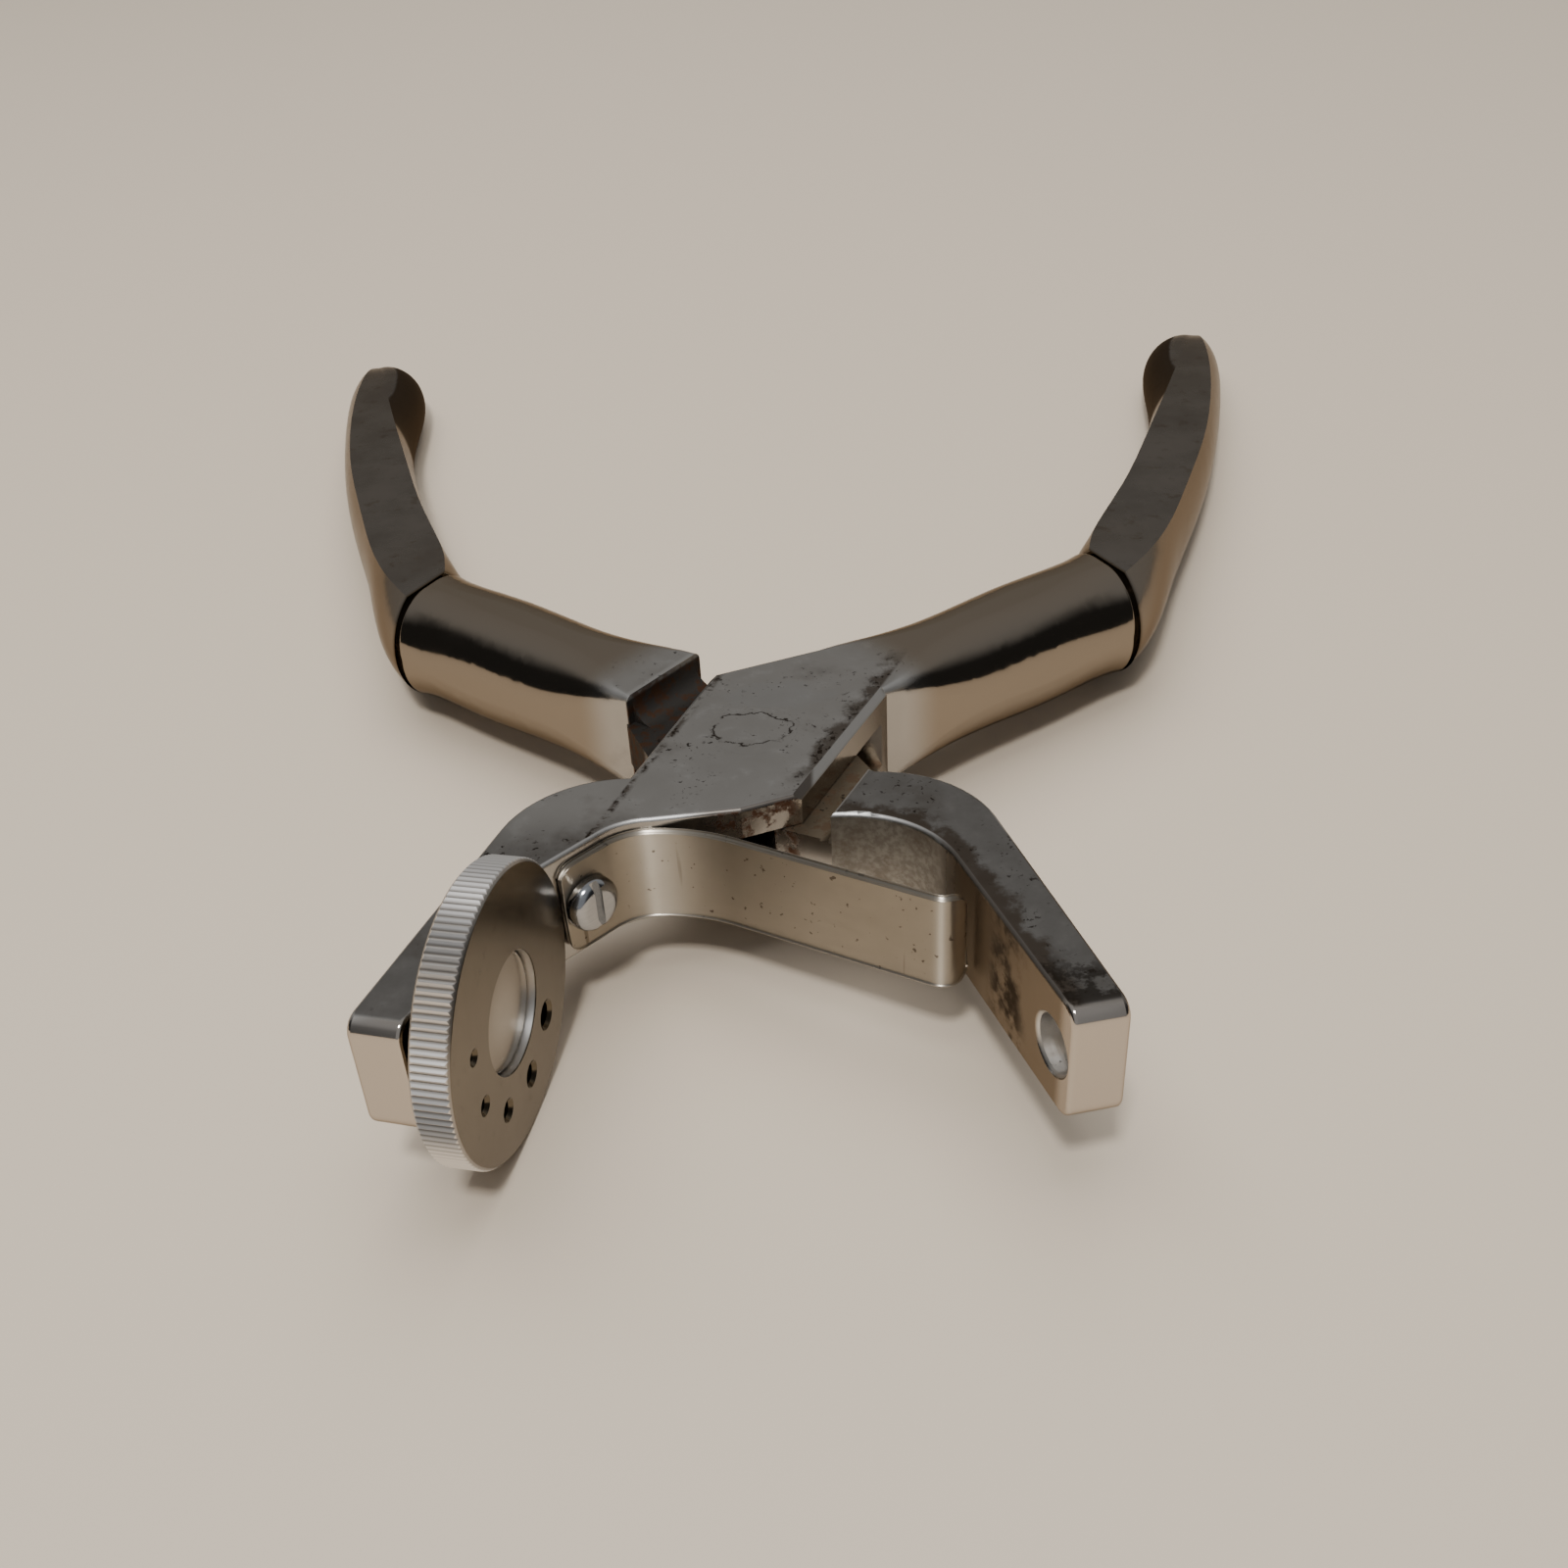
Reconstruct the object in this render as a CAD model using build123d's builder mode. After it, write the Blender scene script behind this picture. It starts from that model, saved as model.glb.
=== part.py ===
from build123d import *
import os
from math import cos, degrees, radians, sin

# Hole-punch pliers with a revolving disc of die holes, drawn sprung open.
# Sizes are millimetres and degrees. Z is the pivot axis, the jaws point to -Y and the handles to +Y.
# The disc jaw is at -X. The origin is on the pivot axis, on the lower face of the box joint.

# Box joint: two plates with a mortise between them
JOINT_THICKNESS = 11.4
PLATE_THICKNESS = 3.2
BOX_FRONT = (4.8, -11.1)
BOX_RIGHT = (13.4, 7.6)
BOX_BACK = (8.0, 16.3)
BOX_LEFT = (-4.8, 10.8)
BOX_CREST = (-0.6, -13.3)
PLATE_CHAMFER = 0.7
CLOSING_ANGLE = 31.0
MOUTH_ANGLE = 85.0

# Tongue that turns in the mortise: a boss on the pin, a head at the jaw and a tail at the handle
TONGUE_BOSS_RADIUS = 6.4
TONGUE_FRONT_ANGLE = 223.5
TONGUE_BACK_ANGLE = 53.9
TONGUE_FRONT = (2.2, -11.6)
TONGUE_HEAD_INNER = (7.8, -14.2)
TONGUE_HEAD_OUTER = (12.6, -10.1)
TONGUE_HEAD_BACK = (12.0, -4.0)
TONGUE_BACK = (9.5, 1.0)
TONGUE_TAIL_BACK = (-8.2, 15.8)
TONGUE_TAIL_FRONT = (-13.8, 8.2)
TONGUE_HEEL = (-9.3, -1.9)
TONGUE_FACE_CLEARANCE = 0.1
TONGUE_SIDE_CLEARANCE = 0.35
TAIL_RAMP_RADIUS = 2.4
HEAD_RAMP_RADIUS = 1.2

# Pivot pin, riveted flush in the plates
PIN_DIAMETER = 6.5
PIN_CLEARANCE = 0.04
PIN_HEAD_DIAMETER = 8.6
PIN_HEAD_DEPTH = 1.3

# Jaws: the right-hand one is drawn, the left-hand one has the same crown, tip and throat start
JAW_CROWN_START = (11.5, -7.5)
JAW_CROWN_RADIUS = 11.0
JAW_CROWN_TURN = 72.4
JAW_BACK_LENGTH = 26.2
JAW_LEAN = 20.2
JAW_FACE_LENGTH = 21.6
JAW_TIP_ROUNDING = 1.6
JAW_EDGE_ROUNDING = 0.45
THROAT_START = (8.6, -14.4)
THROAT_RADIUS = 9.9
SHOULDER_INNER = (7.4, -14.4)
SHOULDER_OUTER = (10.9, -7.0)

# Socket for a punch pin in the right-hand jaw
SOCKET_DIAMETER = 5.0
SOCKET_SETBACK = 3.2
SOCKET_CHAMFER = 0.3

# Handles: a round barrel, a narrow groove, then a flat-topped bow
BARREL_ANGLE = 36.9
BARREL_OFFSET = 4.5
BARREL_START = 14.5
BARREL_STRAIGHT = 16.5
BARREL_BEND_RADIUS = 109.0
BARREL_BEND = 9.9
# Sections of the barrel at shares of its straight, and at the end of its bend: shift outward, then the sizes
BARREL_SHARES = (0.0, 0.15, 0.5, 1.0)
BEND_SHARES = (0.5, 1.0)
BARREL_SHIFTS = (1.2, 1.25, 1.4, 1.5, 1.1, 0.0)
BARREL_WIDTHS = (11.2, 11.4, 12.0, 12.7, 13.3, 14.0)
BARREL_HEIGHTS = (11.4, 11.6, 12.1, 12.6, 12.9, 13.2)
BARREL_ROUNDINGS = (0.8, 1.6, 4.0, 5.2, 5.5, 5.8)
BARREL_END_ROUNDING = 0.35
GROOVE_WIDTH = 0.6
GROOVE_DEPTH = 0.6
BOW_ANGLE = 66.0
BOW_RADIUS = 391.0
BOW_LENGTH = 91.6
# Sections of the bow at shares of its length: turn from square, then the section's sizes
BOW_SHARES = (0.0, 0.07, 0.155, 0.28, 0.47, 0.65, 0.79, 0.89, 0.955, 1.0)
BOW_SKEWS = (-39.0, -17.0, -2.0, 0.0, 0.0, 0.0, 0.0, 0.0, 0.0, 0.0)
BOW_FLATS = (3.4, 3.8, 4.0, 3.8, 3.7, 3.1, 2.3, 1.5, 0.9, 0.4)
BOW_HEIGHTS = (12.6, 11.8, 10.8, 10.2, 9.8, 9.5, 9.0, 8.2, 6.8, 4.4)
BOW_INNER_SWELLS = (3.4, 1.8, 0.7, 0.6, 0.8, 2.0, 4.6, 5.7, 4.7, 2.3)
BOW_OUTER_SWELLS = (3.7, 2.5, 1.3, 1.3, 1.4, 1.6, 2.0, 2.2, 1.8, 0.9)

# Revolving disc of die holes
DISC_RADIUS = 12.7
DISC_THICKNESS = 3.4
DISC_FACE_OFFSET = 12.1
DISC_BACK_GAP = 0.25
DISC_RIM_GAP = 0.35
DISC_RIM_CHAMFER = 0.35
KNURL_COUNT = 120
KNURL_DEPTH = 0.22
DIE_CIRCLE_RADIUS = 8.1
DIE_FIRST_ANGLE = 163.0
DIE_PITCH = 38.5
DIE_DIAMETERS = (0.9, 1.2, 1.5, 1.8, 2.2)
DIE_COUNTERSINK = 0.3

# Stud that the disc turns on
STUD_JOURNAL_DIAMETER = 6.0
STUD_CLEARANCE = 0.04
STUD_HEAD_DIAMETER = 10.2
STUD_HEAD_THICKNESS = 1.2
STUD_HEAD_SINK = 0.75
STUD_HEAD_CLEARANCE = 0.1
STUD_HEAD_LIFT = 0.05
STUD_HEAD_ROUNDING = 0.3
STUD_TAIL_DIAMETER = 4.0
STUD_TAIL_LENGTH = 4.0

# Ball and coil spring that hold the disc at a die hole
BALL_DIAMETER = 2.4
BALL_CLEARANCE = 0.05
BALL_CIRCLE_RADIUS = 6.0
BALL_SINK = 0.65
BALL_TRACK_DEPTH = 0.35
BALL_TRACK_RADIUS = 1.3
BALL_SEAT_EXTRA = 0.2
COIL_OUTER_DIAMETER = 2.2
COIL_INNER_DIAMETER = 1.4
COIL_LENGTH = 1.6
COIL_END_GAP = 0.03

# Leaf spring that opens the arms, with the flat seat for it on the left-hand jaw
LEAF_THICKNESS = 0.8
LEAF_WIDTH = 9.6
LEAF_SEAT_RADIUS = 6.0
LEAF_SEAT_TURN = 47.0
LEAF_SEAT_LENGTH = 7.0
LEAF_TAB_LENGTH = 5.2
LEAF_CREST_RADIUS = 16.0
LEAF_CREST_TURN = 27.0
LEAF_RUN = 19.3
LEAF_NOSE_RADIUS = 2.0
LEAF_NOSE_TURN = 90.0
LEAF_CORNER_ROUNDING = 1.6

# Screw that holds the leaf spring
SCREW_SETBACK = 2.6
SCREW_HEAD_DIAMETER = 5.2
SCREW_HEAD_HEIGHT = 1.5
SCREW_HEAD_ROUNDING = 1.1
SCREW_SLOT_WIDTH = 0.8
SCREW_SLOT_DEPTH = 0.7
SCREW_SHANK_DIAMETER = 3.0
SCREW_SHANK_LENGTH = 4.5
SCREW_HOLE_CLEARANCE = 0.1

os.makedirs("parts", exist_ok=True)

middle = JOINT_THICKNESS / 2
mortise_height = JOINT_THICKNESS - 2 * PLATE_THICKNESS
tongue_thickness = mortise_height - 2 * TONGUE_FACE_CLEARANCE


def polar(length, heading):
    """Plan vector of a length at a heading."""
    return Vector(length * cos(radians(heading)), length * sin(radians(heading)))


def left(point):
    """Plan point moved to the other side of the pivot's centre line."""
    return Vector(-point.X, point.Y)


def closed(point):
    """Plan point of the punch arm, where the closed arms bring it."""
    return Vector(point).rotate(Axis.Z, -CLOSING_ANGLE)


def at_middle(point):
    """Plan point lifted to half the thickness of the joint."""
    return Vector(point.X, point.Y, middle)


# Outline of the right-hand jaw
crown = JernArc(JAW_CROWN_START, (1, 0), JAW_CROWN_RADIUS, -JAW_CROWN_TURN)
tip_outer = crown @ 1 + (crown % 1) * JAW_BACK_LENGTH
throat = JernArc(THROAT_START, (1, 0), THROAT_RADIUS, JAW_LEAN - 90)
tip_inner = throat @ 1 + (throat % 1) * JAW_FACE_LENGTH
socket_mouth = tip_inner - (throat % 1) * SOCKET_SETBACK

# Frame of the disc: the closed arms bring the socket's axis onto the die circle
disc_along = polar(1, JAW_LEAN - 90 - CLOSING_ANGLE)
disc_facing = polar(1, JAW_LEAN - CLOSING_ANGLE)
disc_reach = socket_mouth.dot(throat % 1) - DIE_CIRCLE_RADIUS
disc_centre = at_middle(disc_along * disc_reach - disc_facing * DISC_FACE_OFFSET)
face_plane = Plane(origin=disc_centre, x_dir=-disc_along, z_dir=disc_facing)
back_plane = face_plane.offset(-DISC_THICKNESS)
seat_plane = back_plane.offset(-DISC_BACK_GAP)
ball_plane = seat_plane.offset(-BALL_SINK)
coil_top = ball_plane.offset(-BALL_DIAMETER / 2 - COIL_END_GAP)
ball_at = Location((BALL_CIRCLE_RADIUS, 0))

# Seat of the leaf spring on the left-hand jaw
seat_bend = JernArc(left(Vector(*THROAT_START)), (-1, 0), LEAF_SEAT_RADIUS, LEAF_SEAT_TURN)
seat_end = seat_bend @ 1 + (seat_bend % 1) * LEAF_SEAT_LENGTH
seat_out = (seat_bend % 1).rotate(Axis.Z, 90)
screw_foot = seat_bend @ 1 + (seat_bend % 1) * SCREW_SETBACK
screw_plane = Plane(origin=at_middle(screw_foot), x_dir=(0, 0, 1), z_dir=seat_out)

# Centre lines of the right-hand handle
barrel_root = polar(BARREL_START, BARREL_ANGLE) + polar(BARREL_OFFSET, BARREL_ANGLE + 90)
barrel_line = Line(barrel_root, barrel_root + polar(BARREL_STRAIGHT, BARREL_ANGLE))
barrel_bend = JernArc(barrel_line @ 1, barrel_line % 1, BARREL_BEND_RADIUS, -BARREL_BEND)
bow_root = barrel_bend @ 1 + (barrel_bend % 1) * GROOVE_WIDTH
bow_line = JernArc(bow_root, polar(1, BOW_ANGLE), BOW_RADIUS, degrees(BOW_LENGTH / BOW_RADIUS))


def barrel_section(point, along, width, height, rounding):
    """Section across a barrel: a rectangle with rounded corners."""
    with BuildSketch(Plane(origin=at_middle(point), x_dir=along.rotate(Axis.Z, -90), z_dir=along)) as section:
        RectangleRounded(width, height, rounding)
    return section.sketch


def bow_section(point, along, flat, height, inner, outer):
    """Section across a bow: flat above and below, swelling to the inner and the outer side."""
    with BuildSketch(Plane(origin=at_middle(point), x_dir=along.rotate(Axis.Z, -90), z_dir=along)) as section:
        with BuildLine():
            upper = Line((-flat, height / 2), (flat, height / 2))
            outer_arc = ThreePointArc(upper @ 1, (flat + outer, 0), (flat, -height / 2))
            lower = Line(outer_arc @ 1, (-flat, -height / 2))
            ThreePointArc(lower @ 1, (-flat - inner, 0), upper @ 0)
        make_face()
    return section.sketch


def outline_edges(arm, tip):
    """Edges round the upper and lower faces of an arm, but for those along its rounded tip."""
    flats = arm.faces().filter_by(Axis.Z)
    rims = flats.sort_by(Axis.Z)[0].edges() + flats.sort_by(Axis.Z)[-1].edges()
    return rims.filter_by(lambda rim: (rim @ 0.5 - tip).length > middle + JAW_TIP_ROUNDING)


def ramp_section(start, finish, radius):
    """Section of the hollow ramps from the tongue's two faces up to a shoulder that runs from start to finish."""
    shoulder = (finish - start).normalized()
    tongue_face = tongue_thickness / 2
    with BuildSketch(Plane(origin=at_middle(start), x_dir=shoulder.rotate(Axis.Z, 90), z_dir=shoulder)) as section:
        with BuildLine():
            hollow = JernArc((-radius, tongue_face), (1, 0), radius, 90)
            Polyline(hollow @ 1, (0, tongue_face), hollow @ 0)
        make_face()
        mirror(about=Plane.XZ)
    return section.sketch


# Handle, as it is on the right-hand side
barrel_points = [barrel_line @ share for share in BARREL_SHARES] + [barrel_bend @ share for share in BEND_SHARES]
barrel_alongs = [barrel_line % share for share in BARREL_SHARES] + [barrel_bend % share for share in BEND_SHARES]
barrel_sizes = zip(barrel_points, barrel_alongs, BARREL_SHIFTS, BARREL_WIDTHS, BARREL_HEIGHTS, BARREL_ROUNDINGS)
bow_sizes = zip(BOW_SHARES, BOW_SKEWS, BOW_FLATS, BOW_HEIGHTS, BOW_INNER_SWELLS, BOW_OUTER_SWELLS)
with BuildPart() as handle:
    loft([
        barrel_section(point + along.rotate(Axis.Z, -90) * shift, along, wide, high, rounding)
        for point, along, shift, wide, high, rounding in barrel_sizes
    ])
    barrel_end = handle.faces().sort_by_distance(at_middle(barrel_bend @ 1))[0]
    fillet(barrel_end.edges(), BARREL_END_ROUNDING)
    loft([
        bow_section(bow_line @ share, (bow_line % share).rotate(Axis.Z, skew), flat, high, inner, outer)
        for share, skew, flat, high, inner, outer in bow_sizes
    ])
    neck = barrel_section(
        barrel_bend @ 1 - (barrel_bend % 1) * GROOVE_DEPTH,
        barrel_bend % 1,
        BARREL_WIDTHS[-1] - 2 * GROOVE_DEPTH,
        BARREL_HEIGHTS[-1] - 2 * GROOVE_DEPTH,
        BARREL_ROUNDINGS[-1] - GROOVE_DEPTH,
    )
    extrude(neck, GROOVE_WIDTH + 2 * GROOVE_DEPTH)

# Disc arm: left-hand jaw, the two plates of the joint and the right-hand handle
boss_front = polar(TONGUE_BOSS_RADIUS, TONGUE_FRONT_ANGLE)
boss_back = polar(TONGUE_BOSS_RADIUS, TONGUE_BACK_ANGLE)
mouth = polar(TONGUE_BOSS_RADIUS, MOUTH_ANGLE)
mouth_end = mouth + polar(2 * BOX_RIGHT[0], MOUTH_ANGLE - 90)
with BuildPart() as female_arm:
    with BuildSketch():
        with BuildLine():
            back = JernArc(left(Vector(*JAW_CROWN_START)), (-1, 0), JAW_CROWN_RADIUS, JAW_CROWN_TURN)
            Polyline(back @ 1, left(tip_outer), left(tip_inner), seat_end, seat_bend @ 1)
            add(seat_bend)
            Polyline(seat_bend @ 0, BOX_CREST, BOX_FRONT, BOX_RIGHT, BOX_BACK, BOX_LEFT, back @ 0)
        make_face()
    extrude(amount=JOINT_THICKNESS)
    left_tip = at_middle((left(tip_outer) + left(tip_inner)) * 0.5)
    tip_face = female_arm.faces().filter_by(GeomType.PLANE).sort_by_distance(left_tip)[0]
    fillet(tip_face.edges().filter_by(Axis.Z, reverse=True), JAW_TIP_ROUNDING)
    plate_sides = ((back @ 0 + BOX_LEFT) * 0.5, (Vector(BOX_FRONT) + BOX_RIGHT) * 0.5)
    rims = outline_edges(female_arm, left_tip)
    chamfer([rims.sort_by_distance(at_middle(side))[k] for side in plate_sides for k in (0, 1)], PLATE_CHAMFER)
    rims = outline_edges(female_arm, left_tip)
    plate_rims = [rims.sort_by_distance(at_middle(side))[k] for side in plate_sides for k in (0, 1)]
    fillet([rim for rim in rims if rim not in plate_rims], JAW_EDGE_ROUNDING)
    add(handle.part)
    with BuildSketch(Plane.XY.offset(PLATE_THICKNESS)):
        Circle(TONGUE_BOSS_RADIUS)
        with BuildLine():
            Polyline(
                boss_front,
                TONGUE_HEEL,
                TONGUE_TAIL_FRONT,
                closed(TONGUE_TAIL_BACK),
                closed(boss_back),
                close=True,
            )
        make_face()
        with BuildLine():
            Polyline(
                closed(boss_front),
                closed(TONGUE_FRONT),
                closed(TONGUE_HEAD_INNER),
                TONGUE_HEAD_INNER,
                TONGUE_HEAD_OUTER,
                mouth_end,
                mouth,
                close=True,
            )
        make_face()
        offset(amount=TONGUE_SIDE_CLEARANCE)
    extrude(amount=mortise_height, mode=Mode.SUBTRACT)
    with BuildSketch(seat_plane):
        Circle(DISC_RADIUS + DISC_RIM_GAP)
    extrude(amount=DISC_THICKNESS * 4, mode=Mode.SUBTRACT)
    with BuildSketch(seat_plane):
        Circle(STUD_TAIL_DIAMETER / 2)
    extrude(amount=-STUD_TAIL_LENGTH, mode=Mode.SUBTRACT)
    with BuildSketch(coil_top.offset(-COIL_LENGTH)):
        with Locations(ball_at):
            Circle(BALL_DIAMETER / 2 + BALL_CLEARANCE)
    extrude(amount=COIL_LENGTH + COIL_END_GAP + BALL_DIAMETER / 2 + BALL_SINK, mode=Mode.SUBTRACT)
    with BuildSketch(screw_plane):
        Circle(SCREW_SHANK_DIAMETER / 2)
    extrude(amount=-SCREW_SHANK_LENGTH, mode=Mode.SUBTRACT)
    with BuildSketch():
        Circle(PIN_DIAMETER / 2)
    extrude(amount=JOINT_THICKNESS, mode=Mode.SUBTRACT)
    for outside in (Plane.XY.offset(JOINT_THICKNESS), -Plane.XY):
        with BuildSketch(outside):
            Circle(PIN_HEAD_DIAMETER / 2)
        extrude(amount=-PIN_HEAD_DEPTH, mode=Mode.SUBTRACT)
female_arm.part.label = "female_arm"
export_step(female_arm.part, "parts/female_arm.step")

# Punch arm: right-hand jaw, the tongue and the left-hand handle
root_out = (barrel_line % 0).rotate(Axis.Z, -90)
root_flat = BARREL_WIDTHS[0] / 2 - BARREL_ROUNDINGS[0]
tail_front = left(barrel_root + root_out * (BARREL_SHIFTS[0] + root_flat))
tail_back = left(barrel_root + root_out * (BARREL_SHIFTS[0] - root_flat))
with BuildPart() as male_arm:
    with BuildSketch():
        with BuildLine():
            add(crown)
            Polyline(crown @ 1, tip_outer, tip_inner, throat @ 1)
            add(throat)
            Polyline(throat @ 0, SHOULDER_INNER, SHOULDER_OUTER, crown @ 0)
        make_face()
    extrude(amount=JOINT_THICKNESS)
    right_tip = at_middle((tip_outer + tip_inner) * 0.5)
    tip_face = male_arm.faces().filter_by(GeomType.PLANE).sort_by_distance(right_tip)[0]
    fillet(tip_face.edges().filter_by(Axis.Z, reverse=True), JAW_TIP_ROUNDING)
    fillet(outline_edges(male_arm, right_tip), JAW_EDGE_ROUNDING)
    mirror(handle.part, about=Plane.YZ)
    with BuildSketch(Plane.XY.offset(PLATE_THICKNESS + TONGUE_FACE_CLEARANCE)):
        Circle(TONGUE_BOSS_RADIUS)
        with BuildLine():
            Polyline(boss_front, TONGUE_HEEL, TONGUE_TAIL_FRONT, TONGUE_TAIL_BACK, boss_back, close=True)
        make_face()
        with BuildLine():
            Polyline(
                boss_front,
                TONGUE_FRONT,
                TONGUE_HEAD_INNER,
                TONGUE_HEAD_OUTER,
                TONGUE_HEAD_BACK,
                TONGUE_BACK,
                boss_back,
                close=True,
            )
        make_face()
    extrude(amount=tongue_thickness)
    tail_ramp = ramp_section(tail_front, tail_back, TAIL_RAMP_RADIUS)
    extrude(tail_ramp, (tail_back - tail_front).length)
    head_ramp = ramp_section(Vector(SHOULDER_OUTER), Vector(SHOULDER_INNER), HEAD_RAMP_RADIUS)
    extrude(head_ramp, (Vector(SHOULDER_INNER) - Vector(SHOULDER_OUTER)).length)
    with BuildSketch():
        Circle(PIN_DIAMETER / 2 + PIN_CLEARANCE)
    extrude(amount=JOINT_THICKNESS, mode=Mode.SUBTRACT)
    socket_plane = Plane(origin=at_middle(socket_mouth), x_dir=(0, 0, 1), z_dir=polar(1, JAW_LEAN))
    with BuildSketch(socket_plane):
        Circle(SOCKET_DIAMETER / 2)
    extrude(amount=2 * SOCKET_DIAMETER, mode=Mode.SUBTRACT)
    socket_rims = male_arm.edges().filter_by(GeomType.CIRCLE).filter_by(
        lambda rim: rim.is_closed and abs(rim.radius - SOCKET_DIAMETER / 2) < SOCKET_CHAMFER
    )
    chamfer(socket_rims, SOCKET_CHAMFER)
male_arm.part.label = "male_arm"
export_step(male_arm.part, "parts/male_arm.step")

# Pivot pin with a flush head on each plate
with BuildPart() as pivot_pin:
    with BuildSketch():
        Circle(PIN_DIAMETER / 2)
    extrude(amount=JOINT_THICKNESS)
    for outside in (Plane.XY.offset(JOINT_THICKNESS), -Plane.XY):
        with BuildSketch(outside):
            Circle(PIN_HEAD_DIAMETER / 2)
        extrude(amount=-PIN_HEAD_DEPTH)
pivot_pin.part.label = "pivot_pin"
export_step(pivot_pin.part, "parts/pivot_pin.step")

# Disc with a straight-knurled rim, die holes and a track for the ball in its back
tooth = 180 / KNURL_COUNT
counterbore_depth = STUD_HEAD_SINK + STUD_HEAD_THICKNESS + STUD_HEAD_LIFT
ball_seat_lift = BALL_TRACK_RADIUS - BALL_TRACK_DEPTH
with BuildPart() as punch_disc:
    with BuildSketch(back_plane):
        with BuildLine():
            Polyline(
                [polar(DISC_RADIUS - KNURL_DEPTH * (k % 2), k * tooth) for k in range(2 * KNURL_COUNT)],
                close=True,
            )
        make_face()
    extrude(amount=DISC_THICKNESS)
    with BuildSketch(Plane(origin=back_plane.origin, x_dir=-disc_along, z_dir=(0, 0, 1))):
        with BuildLine():
            Polyline(
                (0, 0),
                (DISC_RADIUS - DISC_RIM_CHAMFER, 0),
                (DISC_RADIUS, -DISC_RIM_CHAMFER),
                (DISC_RADIUS, DISC_RIM_CHAMFER - DISC_THICKNESS),
                (DISC_RADIUS - DISC_RIM_CHAMFER, -DISC_THICKNESS),
                (0, -DISC_THICKNESS),
                close=True,
            )
        make_face()
    revolve(axis=Axis(back_plane.origin, disc_facing), mode=Mode.INTERSECT)
    with BuildSketch(face_plane):
        Circle(STUD_HEAD_DIAMETER / 2 + STUD_HEAD_CLEARANCE)
    extrude(amount=-counterbore_depth, mode=Mode.SUBTRACT)
    with BuildSketch(face_plane):
        Circle(STUD_JOURNAL_DIAMETER / 2 + STUD_CLEARANCE)
    extrude(amount=-DISC_THICKNESS, mode=Mode.SUBTRACT)
    for k, diameter in enumerate(DIE_DIAMETERS):
        hole_at = polar(DIE_CIRCLE_RADIUS, DIE_FIRST_ANGLE + k * DIE_PITCH)
        with Locations(face_plane * Location(hole_at)):
            CounterSinkHole(diameter / 2, diameter / 2 + DIE_COUNTERSINK, DISC_THICKNESS)
    with Locations(back_plane.offset(-ball_seat_lift).location):
        Torus(BALL_CIRCLE_RADIUS, BALL_TRACK_RADIUS, mode=Mode.SUBTRACT)
    for k in range(len(DIE_DIAMETERS)):
        seat_at = polar(BALL_CIRCLE_RADIUS, 180 - DIE_FIRST_ANGLE - k * DIE_PITCH)
        with Locations(back_plane.offset(BALL_SEAT_EXTRA - ball_seat_lift) * Location(seat_at)):
            Sphere(BALL_TRACK_RADIUS, mode=Mode.SUBTRACT)
punch_disc.part.label = "punch_disc"
export_step(punch_disc.part, "parts/punch_disc.step")

# Stud with a sunk head, screwed into the left-hand jaw
with BuildPart() as disc_stud:
    with BuildSketch(seat_plane.offset(-STUD_TAIL_LENGTH)):
        Circle(STUD_TAIL_DIAMETER / 2)
    extrude(amount=STUD_TAIL_LENGTH)
    with BuildSketch(seat_plane):
        Circle(STUD_JOURNAL_DIAMETER / 2)
    extrude(amount=DISC_BACK_GAP + DISC_THICKNESS - STUD_HEAD_SINK)
    with BuildSketch(face_plane.offset(-STUD_HEAD_SINK)):
        Circle(STUD_HEAD_DIAMETER / 2)
    extrude(amount=-STUD_HEAD_THICKNESS)
    head_face = disc_stud.faces().sort_by_distance(disc_centre)[0]
    fillet(head_face.edges(), STUD_HEAD_ROUNDING)
disc_stud.part.label = "disc_stud"
export_step(disc_stud.part, "parts/disc_stud.step")

# Ball that holds the disc
with BuildPart() as detent_ball:
    with Locations(ball_plane * ball_at):
        Sphere(BALL_DIAMETER / 2)
detent_ball.part.label = "detent_ball"
export_step(detent_ball.part, "parts/detent_ball.step")

# Coil spring under the ball, as the sleeve that its turns fill
with BuildPart() as detent_spring:
    with BuildSketch(coil_top):
        with Locations(ball_at):
            Circle(COIL_OUTER_DIAMETER / 2)
            Circle(COIL_INNER_DIAMETER / 2, mode=Mode.SUBTRACT)
    extrude(amount=-COIL_LENGTH)
detent_spring.part.label = "detent_spring"
export_step(detent_spring.part, "parts/detent_spring.step")

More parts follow.
